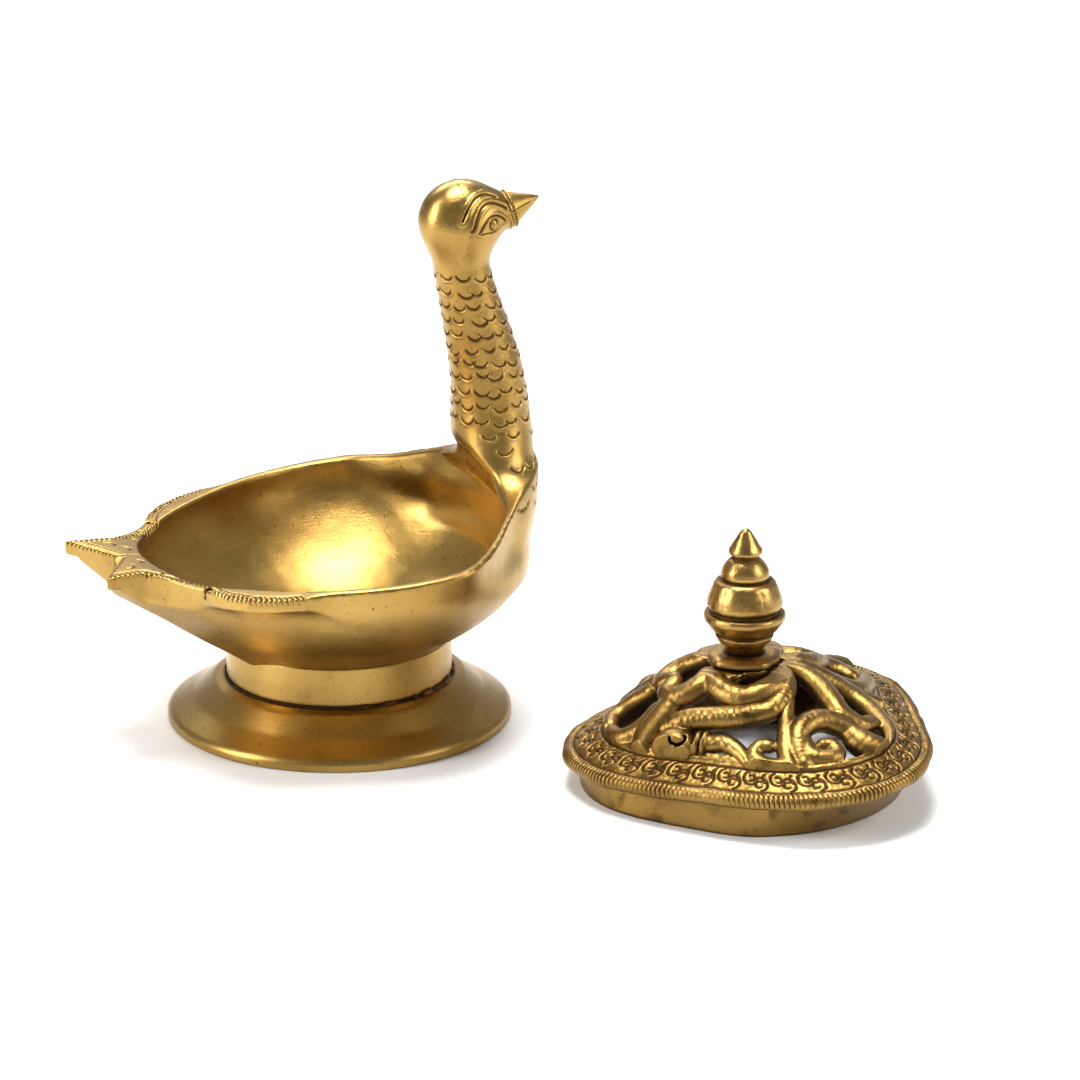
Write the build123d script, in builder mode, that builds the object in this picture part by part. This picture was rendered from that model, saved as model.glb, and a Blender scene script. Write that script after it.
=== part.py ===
"""Brass bird lamp with a loose openwork lid, in millimetres.

The bird faces +X and stands on its foot at the origin, +Z up. The lid stands beside it on the same
level, on its skirt. A shape that only cuts or bounds other shapes is called a form and isn't written.
"""

from build123d import *
from math import cos, pi, radians, sin, sqrt

# Pedestal: a spun cone on a vertical lip, open below, and a turned collar above it.
FOOT_RADIUS = 53.5
LIP_HEIGHT = 3.2
COLLAR_RADIUS = 35.0
COLLAR_WALL = 3.2
CONE_TOP = 14.0
COLLAR_TOP = 30.0
SHEET = 2.6
BRAZE = 1.2

# Bowl: egg-shaped level sections, each (height, centre, half length, half width, egg factor).
BOWL_OUTSIDE = (
    (17.0, 0.0, 23.0, 23.0, 0.0),
    (21.0, 0.0, 29.5, 29.5, 0.0),
    (26.5, 0.0, 36.5, 36.5, 0.0),
    (34.0, -0.5, 47.5, 46.5, 0.04),
    (42.0, -1.0, 56.0, 54.0, 0.09),
    (52.0, -1.5, 62.0, 60.0, 0.15),
    (62.0, -1.5, 64.5, 62.5, 0.18),
    (80.0, -0.6, 65.1, 63.5, 0.18),
)
BOWL_INSIDE = (
    (21.0, 0.0, 20.0, 20.0, 0.0),
    (25.0, 0.0, 29.0, 29.0, 0.0),
    (31.0, -0.5, 39.5, 38.5, 0.0),
    (40.0, -1.2, 50.5, 49.0, 0.08),
    (52.0, -2.0, 58.0, 56.0, 0.15),
    (62.0, -3.2, 59.6, 58.8, 0.18),
    (74.0, -7.0, 56.0, 58.0, 0.18),
    (88.0, -15.0, 52.0, 56.0, 0.18),
)
# The rim's height along the bird, from the tail to the chest.
RIM_LINE = ((-90, 62), (-66, 60.2), (-56, 57.4), (-41, 58.2), (-17, 60), (10, 62.1), (26, 64), (38, 68),
            (47, 73.5), (58, 77), (90, 79))

# Neck: level ellipses from the chest to the throat, each (height, centre, half length, half width).
NECK = (
    (56.0, 49.5, 14.0, 44.0),
    (70.0, 50.3, 14.2, 32.0),
    (80.0, 51.0, 13.6, 20.5),
    (91.0, 50.7, 12.6, 14.4),
    (104.0, 49.4, 11.6, 12.0),
    (118.0, 46.6, 10.5, 10.6),
    (131.0, 43.2, 9.3, 9.4),
    (142.0, 40.6, 8.7, 8.9),
    (152.0, 40.4, 8.9, 9.0),
)
# Head: upright ellipses from the nape to the beak, each (place along X, height, half width, half height).
HEAD = (
    (28.2, 154.4, 3.2, 4.2),
    (31.0, 154.6, 7.2, 8.4),
    (36.0, 155.0, 9.9, 11.6),
    (42.0, 155.8, 10.6, 11.5),
    (48.0, 156.4, 9.3, 9.6),
    (54.0, 156.4, 6.4, 6.4),
)
BEAK_ROOT = (55.2, 0, 156.6)
BEAK_RISE = 17.0
BEAK_LENGTH = 10.4
BEAK_RADIUS = 5.0
BEAK_RING_RADIUS = 6.0
BEAK_RING_WIDTH = 1.6
BEAK_TANG_RADIUS = 2.0
BEAK_TANG_LENGTH = 4.0

# Tail: two lobes that meet on the centre line, and a shorter feather outside each.
TAIL_TOP = 60.0
TAIL_FOOT = 40.0
FEATHER_DROP = 1.6
FEATHER_THICKNESS = 7.0
HULL_CONE = ((36.0, 24.5), (110.0, 73.3))
TAIL_LOBE = ((-50, 0), (-70.9, 0), (-75, 9.5), (-81.5, 18.4), (-75, 18.6), (-68, 17.6), (-60, 22.6),
             (-53, 27.6), (-49.5, 31.4), (-40, 26))
SIDE_FEATHER = ((-49.5, 31.4), (-53.5, 36.5), (-51.5, 42.5), (-44, 49.5), (-34, 54.5), (-26, 57.5),
                (-20, 50), (-40, 26))

# Lid: a rounded triangle in plan with its point towards the tail, higher at its neck side.
LID_PLACE = (102.1, -96.2)
LID_HEADING = -14.6
LID_RADIUS = 53.4
LID_OVAL = -0.9
LID_CORNERS = 5.3
LID_SLOPE = 3.7
LID_SHOULDER = 14.7
BEAD_WIDTH = 2.1
BEAD_HEIGHT = 4.2
BORDER_WIDTH = 13.0
BORDER_RISE = 5.0
JALI_INSET = 10.8
DOME_INSET = 26.0
DOME_RISE = 13.2
CASTING_WALL = 3.4
SKIRT_TOP_INSET = 3.2
SKIRT_FOOT_CENTRE = -5.7
SKIRT_FOOT_RADIUS = 48.8
SKIRT_EDGE_INSET = 0.8
SKIRT_WALL = 2.4
SKIRT_LOFT_HEIGHT = 20.0
BOSS_PLACE = -5.3
BOSS_TOP = 40.3
BOSS_HEIGHT = 3.0
BOSS_RADIUS = 11.0
FINIAL_HEIGHT = 38.8
SHANK_RADIUS = 2.5
NUT_ACROSS_FLATS = 8.0
NUT_HEIGHT = 3.0
SHANK_DROP = BOSS_HEIGHT + CASTING_WALL + NUT_HEIGHT + 0.6
OUTLINE_STEPS = 48
CLEAR_ABOVE = 60.0

# Finial: radius and height above the boss, from its seat up to its point.
FINIAL_PROFILE = ((5.2, 0.0), (8.7, 5.2), (8.9, 6.3), (9.5, 6.6), (12.2, 10.6), (12.2, 12.6), (10.5, 13.1),
                  (10.5, 14.2), (11.4, 15.0), (11.0, 18.2), (8.0, 22.9), (7.3, 23.4), (7.1, 26), (4.3, 29.4),
                  (4.1, 30.5), (5.1, 32.1), (0.9, FINIAL_HEIGHT), (0, FINIAL_HEIGHT))

# Openwork, in the lid's own plan with +X to the neck side: windows on its right half, mirrored to the left.
WINDOWS = (
    ((-24, -7), (-15, -17), (-8, -22), (-17, -18), (-25, -13)),
    ((-18, -23.5), (-9, -28), (-1, -29), (-2, -35.5), (-7, -33.5), (-13, -28.5)),
    ((-22, -29), (-14, -32), (-10.5, -40.5), (-13, -41), (-21, -38)),
    ((6, -26), (10, -13), (18, -24), (12, -28)),
    ((9, -35), (14, -33), (22, -34), (18, -38.5)),
    ((19, -13), (25, -5), (31, -16), (24, -21)),
    ((-35, -6), (-30, -8), (-32, -13), (-36, -12)),
)
BIRD_HEAD = ((-28.5, -23.5), 7.4)
BIRD_NECK = ((-29, -16), (-18, -20), (-8, -24), (0, -24.5), (4, -19), (5, -10), (8, -11), (8, -20), (3, -28),
             (-8, -27.5), (-19, -24.5), (-29, -22.5))
BIRD_BEAK = ((-24.5, -21.5), (-15.5, -25), (-9, -31.5), (-7, -41), (-11, -40.5), (-14.5, -33),
             (-25.5, -30.8))


def egg_points(centre, half_length, half_width, egg, steps=16):
    """A closed curve that is wider at its +X end, like an egg."""
    angles = [2 * pi * step / steps for step in range(steps)]
    return [(centre + half_length * cos(a), half_width * sin(a) * (1 + egg * cos(a))) for a in angles]


def outline_points(centre, reach):
    """A closed outline round a centre on the lid's X axis, from its reach at each angle."""
    angles = [2 * pi * step / OUTLINE_STEPS for step in range(OUTLINE_STEPS)]
    return [(centre + reach(a) * cos(a), reach(a) * sin(a)) for a in angles]


def lid_reach(a):
    """How far the casting's edge is from the lid's centre at an angle: a rounded triangle."""
    return LID_RADIUS + LID_OVAL * cos(2 * a) - LID_CORNERS * cos(3 * a)


def foot_reach(a):
    """How far the skirt's foot is from the lid's centre: round, set back, but kept inside the edge."""
    across = SKIRT_FOOT_CENTRE * sin(a)
    round_reach = SKIRT_FOOT_CENTRE * cos(a) + sqrt(SKIRT_FOOT_RADIUS**2 - across**2)
    return min(round_reach, lid_reach(a) - SKIRT_EDGE_INSET)


def lid_points(inset, centre=0):
    """The lid's outline in its own plan, moved inwards by the inset."""
    return outline_points(centre, lambda a: lid_reach(a) - inset)


def smooth_face(plane, points):
    """A face on the plane inside a smooth closed curve."""
    with BuildSketch(plane) as face:
        with BuildLine():
            Spline(*points, periodic=True)
        make_face()
    return face.sketch


def straight_face(plane, points):
    """A face on the plane inside a straight-sided closed outline."""
    with BuildSketch(plane) as face:
        with BuildLine():
            Polyline(*points, close=True)
        make_face()
    return face.sketch


def egg_sections(sections):
    """Level egg-shaped faces, for a loft."""
    return [smooth_face(Plane.XY.offset(height), egg_points(*shape)) for height, *shape in sections]


def finish(piece, name):
    """Labels a piece and writes its file."""
    piece.part.label = name
    export_step(piece.part, f"parts/{name}.step")


# ---- Bowl and its forms ----
with BuildPart() as bowl_form:
    loft(egg_sections(BOWL_OUTSIDE))

with BuildPart() as hollow_form:
    loft(egg_sections(BOWL_INSIDE))

with BuildPart() as above_rim_form:
    with BuildSketch(Plane.XZ):
        with BuildLine():
            Spline(*RIM_LINE)
            Polyline(RIM_LINE[-1], (RIM_LINE[-1][0], 130), (RIM_LINE[0][0], 130), RIM_LINE[0])
        make_face()
    extrude(amount=80, both=True)

with BuildPart() as below_rim_form:
    with BuildSketch(Plane.XZ):
        with BuildLine():
            Spline(*RIM_LINE)
            Polyline(RIM_LINE[-1], (RIM_LINE[-1][0], -10), (RIM_LINE[0][0], -10), RIM_LINE[0])
        make_face()
    extrude(amount=80, both=True)

with BuildPart() as bowl:
    add(bowl_form.part)
    add(above_rim_form.part, mode=Mode.SUBTRACT)
    add(hollow_form.part, mode=Mode.SUBTRACT)
finish(bowl, "bowl")

# ---- Neck and head, one casting on the front of the rim ----
with BuildPart() as neck_head:
    for height, centre, half_length, half_width in NECK:
        with BuildSketch(Plane.XY.offset(height)):
            with Locations((centre, 0)):
                Ellipse(half_length, half_width)
    loft()
    add(below_rim_form.part, mode=Mode.SUBTRACT)
    add(hollow_form.part, mode=Mode.SUBTRACT)
    for along, height, half_width, half_height in HEAD:
        with BuildSketch(Plane.YZ.offset(along)):
            with Locations((0, height)):
                Ellipse(half_width, half_height)
    loft()
    beak_way = (cos(radians(BEAK_RISE)), 0, sin(radians(BEAK_RISE)))
    beak_seat = Plane(BEAK_ROOT, x_dir=(0, 1, 0), z_dir=beak_way)
    with BuildSketch(beak_seat):
        Circle(20)
    extrude(amount=20, mode=Mode.SUBTRACT)
    with BuildSketch(beak_seat.offset(-BEAK_TANG_LENGTH)):
        Circle(BEAK_TANG_RADIUS)
    extrude(amount=BEAK_TANG_LENGTH, mode=Mode.SUBTRACT)
finish(neck_head, "neck_head")

# ---- Beak: a turned cone with a tang, and the hatched ring at its root ----
with BuildPart() as beak:
    with BuildSketch(beak_seat.offset(-BEAK_TANG_LENGTH)):
        Circle(BEAK_TANG_RADIUS)
    extrude(amount=BEAK_TANG_LENGTH + BEAK_RING_WIDTH)
    with BuildSketch(beak_seat.offset(BEAK_RING_WIDTH)):
        Circle(BEAK_RADIUS)
    with BuildSketch(beak_seat.offset(BEAK_LENGTH)):
        Circle(0.9)
    loft()
    fillet(beak.faces().sort_by(Axis.X)[-1].edges(), 0.6)
finish(beak, "beak")

with BuildPart() as beak_ring:
    with BuildSketch(beak_seat):
        Circle(BEAK_RING_RADIUS)
        Circle(BEAK_TANG_RADIUS, mode=Mode.SUBTRACT)
    extrude(amount=BEAK_RING_WIDTH)
    fillet(beak_ring.edges().filter_by(GeomType.CIRCLE).group_by(SortBy.RADIUS)[-1], 0.5)
finish(beak_ring, "beak_ring")

# ---- Tail: wedges that are flat on top, follow the hull below and are cut to the bowl's outside ----
with BuildPart() as under_hull_form:
    with BuildSketch(Plane.XZ):
        with BuildLine():
            Polyline(HULL_CONE[0], HULL_CONE[1], (HULL_CONE[1][0], 0), (HULL_CONE[0][0], 0), close=True)
        make_face()
    revolve(axis=Axis.Z)

feather_top = TAIL_TOP - FEATHER_DROP
tail_plates = (
    ("tail_lobe", TAIL_LOBE, TAIL_FOOT, TAIL_TOP),
    ("side_feather", SIDE_FEATHER, feather_top - FEATHER_THICKNESS, feather_top),
)
for side, side_name in ((1, "left"), (-1, "right")):
    for plate_name, outline, bottom, top in tail_plates:
        with BuildPart() as plate:
            with BuildSketch(Plane.XY.offset(bottom)):
                with BuildLine():
                    Polyline(*[(x, side * y) for x, y in outline], close=True)
                make_face()
            extrude(amount=top - bottom)
            add(bowl_form.part, mode=Mode.SUBTRACT)
            add(under_hull_form.part, mode=Mode.SUBTRACT)
        finish(plate, f"{plate_name}_{side_name}")

# ---- Pedestal ----
with BuildPart() as base_flange:
    with BuildSketch(Plane.XZ):
        with BuildLine():
            Polyline(
                (FOOT_RADIUS - SHEET, 0),
                (FOOT_RADIUS, 0),
                (FOOT_RADIUS, LIP_HEIGHT),
                (COLLAR_RADIUS + BRAZE, CONE_TOP),
                (COLLAR_RADIUS - COLLAR_WALL, CONE_TOP),
                (COLLAR_RADIUS - COLLAR_WALL, CONE_TOP - SHEET),
                (FOOT_RADIUS - SHEET, LIP_HEIGHT - 0.6),
                close=True,
            )
        make_face()
    revolve(axis=Axis.Z)
finish(base_flange, "base_flange")

with BuildPart() as pedestal_collar:
    with BuildSketch(Plane.XY.offset(CONE_TOP)):
        Circle(COLLAR_RADIUS)
        Circle(COLLAR_RADIUS - COLLAR_WALL, mode=Mode.SUBTRACT)
    extrude(amount=COLLAR_TOP - CONE_TOP)
    add(bowl_form.part, mode=Mode.SUBTRACT)
finish(pedestal_collar, "pedestal_collar")

with BuildPart() as collar_braze:
    with BuildSketch(Plane.XZ):
        with BuildLine():
            Polyline(
                (COLLAR_RADIUS, CONE_TOP),
                (COLLAR_RADIUS + BRAZE, CONE_TOP),
                (COLLAR_RADIUS, CONE_TOP + BRAZE),
                close=True,
            )
        make_face()
    revolve(axis=Axis.Z)
finish(collar_braze, "collar_braze")

# ---- Lid planes ----
lid_heading = Vector(cos(radians(LID_HEADING)), sin(radians(LID_HEADING)), 0)
LID_LEVEL = Plane((*LID_PLACE, 0), x_dir=lid_heading, z_dir=(0, 0, 1))
LID_TILTED = LID_LEVEL.offset(LID_SHOULDER).rotated((0, -LID_SLOPE, 0))
BOSS_LEVEL = Plane(LID_LEVEL.from_local_coords((BOSS_PLACE, 0, 0)), x_dir=lid_heading, z_dir=(0, 0, 1))


def dome_sections(drop):
    """Faces up the lid's dome, from its edge to its boss, all lowered by the drop."""
    rises = ((0, 0, 0), (BORDER_WIDTH, BORDER_RISE, 0), (DOME_INSET, DOME_RISE, BOSS_PLACE / 2))
    faces = []
    for inset, rise, centre in rises:
        faces.append(straight_face(LID_TILTED.offset(rise - drop), lid_points(inset, centre)))
    top = outline_points(BOSS_PLACE, lambda a: BOSS_RADIUS)
    return faces + [straight_face(LID_LEVEL.offset(BOSS_TOP - BOSS_HEIGHT - drop), top)]


def lid_prism(points):
    """An upright prism from the lid's foot to well above it, over an outline in its plan."""
    with BuildPart() as prism:
        extrude(straight_face(LID_LEVEL, points), amount=CLEAR_ABOVE)
    return prism.part


def mirrored(points):
    """The same outline on the other side of the lid's centre line."""
    return [(x, -y) for x, y in points]


with BuildPart() as lid_hollow_form:
    loft(dome_sections(CASTING_WALL), ruled=True)

with BuildPart() as lid_casting_form:
    loft(dome_sections(0), ruled=True)
    add(lid_hollow_form.part, mode=Mode.SUBTRACT)
    with BuildSketch(BOSS_LEVEL):
        Circle(SHANK_RADIUS)
    extrude(amount=CLEAR_ABOVE, mode=Mode.SUBTRACT)

with BuildPart() as jali_zone_form:
    extrude(straight_face(LID_LEVEL, lid_points(JALI_INSET)), amount=CLEAR_ABOVE)

# ---- Lid border, with the milled bead round its edge ----
with BuildPart() as lid_border:
    add(lid_casting_form.part)
    add(jali_zone_form.part, mode=Mode.SUBTRACT)
finish(lid_border, "lid_border")

with BuildPart() as lid_edge_bead:
    bead_foot = LID_TILTED.offset(-BEAD_HEIGHT)
    extrude(straight_face(bead_foot, lid_points(-BEAD_WIDTH)), amount=BEAD_HEIGHT)
    extrude(straight_face(bead_foot, lid_points(0)), amount=BEAD_HEIGHT, mode=Mode.SUBTRACT)
finish(lid_edge_bead, "lid_edge_bead")

# ---- Skirt: a tapering band under the border ----
with BuildPart() as lid_skirt:
    skirt_top = LID_LEVEL.offset(SKIRT_LOFT_HEIGHT)
    for wall, mode in ((0, Mode.ADD), (SKIRT_WALL, Mode.SUBTRACT)):
        foot_face = straight_face(LID_LEVEL, outline_points(0, lambda a: foot_reach(a) - wall))
        top_face = straight_face(skirt_top, lid_points(SKIRT_TOP_INSET + wall))
        loft([foot_face, top_face], ruled=True, mode=mode)
    split(bisect_by=LID_TILTED, keep=Keep.BOTTOM)
    add(lid_casting_form.part, mode=Mode.SUBTRACT)
finish(lid_skirt, "lid_skirt")

# ---- Openwork: two bird figures, and the scrolls and bands that hold them ----
bird_names = (("right", list), ("left", mirrored))
with BuildPart() as jali_scrolls:
    add(lid_casting_form.part)
    add(jali_zone_form.part, mode=Mode.INTERSECT)
    for side, turn_over in bird_names:
        for window in WINDOWS:
            add(lid_prism(turn_over(window)), mode=Mode.SUBTRACT)
        with BuildSketch(LID_LEVEL):
            with Locations(turn_over([BIRD_HEAD[0]])[0]):
                Circle(BIRD_HEAD[1])
        extrude(amount=CLEAR_ABOVE, mode=Mode.SUBTRACT)
        for outline in (BIRD_NECK, BIRD_BEAK):
            add(lid_prism(turn_over(outline)), mode=Mode.SUBTRACT)
finish(jali_scrolls, "jali_scrolls")


for side, turn_over in bird_names:
    with BuildPart() as bird_form:
        with BuildSketch(LID_LEVEL):
            with Locations(turn_over([BIRD_HEAD[0]])[0]):
                Circle(BIRD_HEAD[1])
        extrude(amount=CLEAR_ABOVE)
        add(lid_prism(turn_over(BIRD_NECK)))
        add(lid_prism(turn_over(BIRD_BEAK)))
    with BuildPart() as jali_bird:
        add(lid_casting_form.part)
        add(jali_zone_form.part, mode=Mode.INTERSECT)
        add(bird_form.part, mode=Mode.INTERSECT)
    finish(jali_bird, f"jali_bird_{side}")

# ---- Boss, finial and its nut ----
with BuildPart() as lid_boss:
    with BuildSketch(BOSS_LEVEL.offset(BOSS_TOP - BOSS_HEIGHT)):
        Circle(BOSS_RADIUS)
        Circle(SHANK_RADIUS, mode=Mode.SUBTRACT)
    extrude(amount=BOSS_HEIGHT)
    chamfer(lid_boss.edges().filter_by(GeomType.CIRCLE).sort_by(Axis.Z)[-2:].sort_by(SortBy.RADIUS)[-1], 0.8)
finish(lid_boss, "lid_boss")

with BuildPart() as finial:
    with BuildSketch(Plane(BOSS_LEVEL.offset(BOSS_TOP).origin, x_dir=(1, 0, 0), z_dir=(0, -1, 0))):
        with BuildLine():
            Polyline(*FINIAL_PROFILE, (0, -SHANK_DROP), (SHANK_RADIUS, -SHANK_DROP), (SHANK_RADIUS, 0),
                     close=True)
        make_face()
    revolve(axis=Axis(BOSS_LEVEL.origin, (0, 0, 1)))
finish(finial, "finial")

with BuildPart() as finial_nut:
    with BuildSketch(BOSS_LEVEL.offset(BOSS_TOP - BOSS_HEIGHT - CASTING_WALL - NUT_HEIGHT)):
        RegularPolygon(NUT_ACROSS_FLATS / 2, 6, major_radius=False)
        Circle(SHANK_RADIUS, mode=Mode.SUBTRACT)
    extrude(amount=NUT_HEIGHT)
finish(finial_nut, "finial_nut")
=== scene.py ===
import math

import bmesh
import bpy
import numpy as np
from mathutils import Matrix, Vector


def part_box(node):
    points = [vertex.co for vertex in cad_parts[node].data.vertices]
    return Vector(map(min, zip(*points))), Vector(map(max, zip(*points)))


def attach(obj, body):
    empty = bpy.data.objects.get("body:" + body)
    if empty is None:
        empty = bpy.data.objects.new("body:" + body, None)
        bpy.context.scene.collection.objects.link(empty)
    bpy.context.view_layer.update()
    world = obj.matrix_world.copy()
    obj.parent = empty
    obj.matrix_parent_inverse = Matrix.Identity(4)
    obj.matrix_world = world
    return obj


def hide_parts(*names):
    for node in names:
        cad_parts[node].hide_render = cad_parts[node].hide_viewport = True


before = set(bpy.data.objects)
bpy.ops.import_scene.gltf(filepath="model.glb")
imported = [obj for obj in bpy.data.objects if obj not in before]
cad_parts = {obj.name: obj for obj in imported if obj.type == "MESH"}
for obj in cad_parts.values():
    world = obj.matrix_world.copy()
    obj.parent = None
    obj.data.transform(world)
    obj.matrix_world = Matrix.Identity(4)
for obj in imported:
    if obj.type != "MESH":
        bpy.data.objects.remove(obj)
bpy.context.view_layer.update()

import openvdb
from mathutils import Vector

# Everything below is worked out in millimetres and scaled to metres when a mesh is made.
MM = 0.001


# ---- numbers from the frame
def box_mm(node):
    """A CAD node's lowest and highest corners, in millimetres."""
    low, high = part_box(node)
    return np.array(low) / MM, np.array(high) / MM


foot_low, foot_high = box_mm("base_flange")
collar_low, collar_high = box_mm("pedestal_collar")
boss_low, boss_high = box_mm("lid_boss")
FOOT_RADIUS = (foot_high[1] - foot_low[1]) / 2
CONE_TOP = foot_high[2]
COLLAR_RADIUS = (collar_high[1] - collar_low[1]) / 2
BOSS_RADIUS = (boss_high[1] - boss_low[1]) / 2
BOSS_PLACE = (boss_low[:2] + boss_high[:2]) / 2
BOSS_SEAT, BOSS_TOP = boss_low[2], boss_high[2]
FINIAL_TIP = box_mm("finial")[1][2]
# Where the lid's own plan has its origin, and how far that plan is turned.
LID_PLACE = np.array([102.1, -96.2])
LID_HEADING = math.radians(-14.6)


# ---- mathematics
def smooth_table(places, values, steps=600):
    """A smooth curve through a few values, as a dense table for np.interp."""
    x, y = np.array(places, float), np.array(values, float)
    slope = np.gradient(y, x)
    dense = np.linspace(x[0], x[-1], steps)
    i = np.clip(np.searchsorted(x, dense) - 1, 0, len(x) - 2)
    span = x[i + 1] - x[i]
    t = (dense - x[i]) / span
    a, b = y[i], y[i + 1]
    m, n = slope[i] * span, slope[i + 1] * span
    curve = (2 * t**3 - 3 * t**2 + 1) * a + (t**3 - 2 * t**2 + t) * m
    curve += (-2 * t**3 + 3 * t**2) * b + (t**3 - t**2) * n
    return dense, curve


def smooth_path(points, step=0.6):
    """Evenly spaced points along a smooth line through the given ones, whatever their dimension."""
    points = np.array(points, float)
    along = np.r_[0, np.cumsum(np.linalg.norm(np.diff(points, axis=0), axis=1))]
    columns = [smooth_table(along, points[:, c], 400)[1] for c in range(points.shape[1])]
    dense = np.array(columns).T
    run = np.r_[0, np.cumsum(np.linalg.norm(np.diff(dense[:, :3], axis=0), axis=1))]
    places = np.linspace(0, run[-1], max(3, int(run[-1] / step) + 1))
    return np.array([np.interp(places, run, dense[:, c]) for c in range(points.shape[1])]).T


def soft_min(a, b, k):
    """The lesser of two distances, rounded over where they are within k of each other."""
    h = np.clip(0.5 + 0.5 * (b - a) / k, 0, 1)
    return b * (1 - h) + a * h - k * h * (1 - h)


def soft_max(a, b, k):
    """The greater of two distances, rounded over in the same way."""
    return -soft_min(-a, -b, k)


def ramp(x, low, high):
    """0 below low, 1 above high, smooth between."""
    t = np.clip((x - low) / (high - low), 0, 1)
    return t * t * (3 - 2 * t)


def waves(p, size, seed, octaves=3):
    """Smooth seeded unevenness made of plane waves, about -1 to 1."""
    rng = np.random.default_rng(seed)
    total = np.zeros(len(p))
    for octave in range(octaves):
        for _ in range(5):
            direction = rng.normal(size=3)
            direction /= np.linalg.norm(direction)
            turn = 2 * np.pi * (2**octave) / size * rng.uniform(0.7, 1.3)
            total += np.sin(p @ direction * turn + rng.uniform(0, 6.28)) / (2**octave * 3)
    return total


def outline_distance(x, y, points):
    """Signed distance to a closed polygon, negative inside, and how far round it the nearest point is."""
    points = np.array(points, float)
    best = np.full(x.shape, 1e9)
    along = np.zeros(x.shape)
    inside = np.zeros(x.shape, bool)
    run = 0.0
    for (ax, ay), (bx, by) in zip(points, np.roll(points, -1, axis=0)):
        ex, ey = bx - ax, by - ay
        length = math.hypot(ex, ey)
        t = np.clip(((x - ax) * ex + (y - ay) * ey) / length**2, 0, 1)
        d = np.hypot(x - ax - t * ex, y - ay - t * ey)
        nearer = d < best
        best = np.where(nearer, d, best)
        along = np.where(nearer, run + t * length, along)
        crosses = (ay > y) != (by > y)
        with np.errstate(divide="ignore", invalid="ignore"):
            left = x < ex * (y - ay) / (ey if ey else 1e-9) + ax
        inside ^= crosses & left
        run += length
    return np.where(inside, -best, best), along


# ---- meshes
def new_mesh(name, points, faces, **attributes):
    """A smooth-shaded object from points in millimetres, with a float attribute for each keyword."""
    mesh = bpy.data.meshes.new(name)
    mesh.from_pydata((np.asarray(points) * MM).tolist(), [], [list(map(int, f)) for f in faces])
    for key, values in attributes.items():
        data = mesh.attributes.new(key, "FLOAT", "POINT").data
        data.foreach_set("value", np.asarray(values, np.float32))
    mesh.validate()
    mesh.polygons.foreach_set("use_smooth", [True] * len(mesh.polygons))
    piece = bpy.data.objects.new(name, mesh)
    bpy.context.scene.collection.objects.link(piece)
    return piece


def ring_faces(rows, columns):
    """Quads of a tube that closes both ways, for rows x columns points."""
    r, c = np.meshgrid(np.arange(rows), np.arange(columns), indexing="ij")
    r2, c2 = (r + 1) % rows, (c + 1) % columns
    corners = [r * columns + c, r2 * columns + c, r2 * columns + c2, r * columns + c2]
    return np.stack(corners, -1).reshape(-1, 4)


def turned_points(profile, around, shape=None):
    """Points of a body of revolution from a closed (radius, height) profile, which shape() may vary."""
    profile = np.array(profile, float)
    a = np.linspace(0, 2 * np.pi, around, endpoint=False)[:, None]
    radius = profile[None, :, 0] * np.ones_like(a)
    height = profile[None, :, 1] * np.ones_like(a)
    if shape is not None:
        radius = shape(a, height, radius)
    return np.stack([radius * np.cos(a), radius * np.sin(a), height], -1).reshape(-1, 3)


def round_waves(a, height, radius, size, seed):
    """Seeded unevenness for the points of a body of revolution."""
    p = np.stack([radius * np.cos(a), radius * np.sin(a), height], -1).reshape(-1, 3)
    return waves(p, size, seed).reshape(radius.shape)


def axis_distance(points):
    return np.hypot(points[:, 0], points[:, 1])


def away_from_axis(points):
    """Level unit directions from the Z axis to the points."""
    outward = points * np.array([1, 1, 0])
    return outward / np.maximum(np.linalg.norm(outward, axis=1, keepdims=True), 1e-6)


def fine_profile(corners, step, rounding):
    """A closed profile through corners, with more points and slightly rounded corners."""
    corners = np.array(corners, float)
    points = []
    for before, here, after in zip(np.roll(corners, 1, axis=0), corners, np.roll(corners, -1, axis=0)):
        back, on = before - here, after - here
        cut = min(rounding, np.linalg.norm(back) / 2.2, np.linalg.norm(on) / 2.2)
        start = here + back / np.linalg.norm(back) * cut
        end = here + on / np.linalg.norm(on) * cut
        for t in (0.0, 0.25, 0.5, 0.75, 1.0):
            points.append((1 - t) ** 2 * start + 2 * t * (1 - t) * here + t**2 * end)
        rest = after + (here - after) / np.linalg.norm(here - after) * cut - end
        for t in np.linspace(0, 1, max(2, int(np.linalg.norm(rest) / step)) + 1)[1:-1]:
            points.append(end + rest * t)
    return np.array(points)


def quads_from_field(values, low, step):
    """The zero surface of a field of distances on a regular grid, as points and faces."""
    grid = openvdb.FloatGrid(float(values.max()))
    grid.copyFromArray(np.ascontiguousarray(values, np.float32))
    points, quads = grid.convertToQuads(0.0)
    return np.asarray(points, float) * step + np.array(low, float), np.asarray(quads)


# ---- the bird's casting
# Level egg-shaped sections: (height, centre, half length, half width, egg factor).
HULL = ((15, 0, 20, 20, 0), (18.5, 0, 24, 24, 0), (22.5, 0, 30, 30, 0), (28, 0, 37, 36.5, 0),
        (35.3, -0.5, 47.6, 46.5, 0.04), (43, -1, 56, 54, 0.09), (52, -1.6, 62.2, 60, 0.15),
        (62, -1.8, 64.5, 62.3, 0.18), (74, -1.2, 65.2, 63.5, 0.18), (100, -0.6, 65.2, 64, 0.18))
CAVITY = ((18, 0, 10, 10, 0), (21, 0, 20, 20, 0), (25, 0, 29.5, 29.5, 0), (31, -0.5, 40, 39, 0),
          (40, -1.2, 50.8, 49.3, 0.08), (52, -2.2, 58.2, 56.3, 0.15), (62, -3.3, 59.9, 58.8, 0.18),
          (74, -7, 56, 58, 0.18), (86, -14, 52, 56, 0.18), (100, -26, 50, 54, 0.18))
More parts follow.
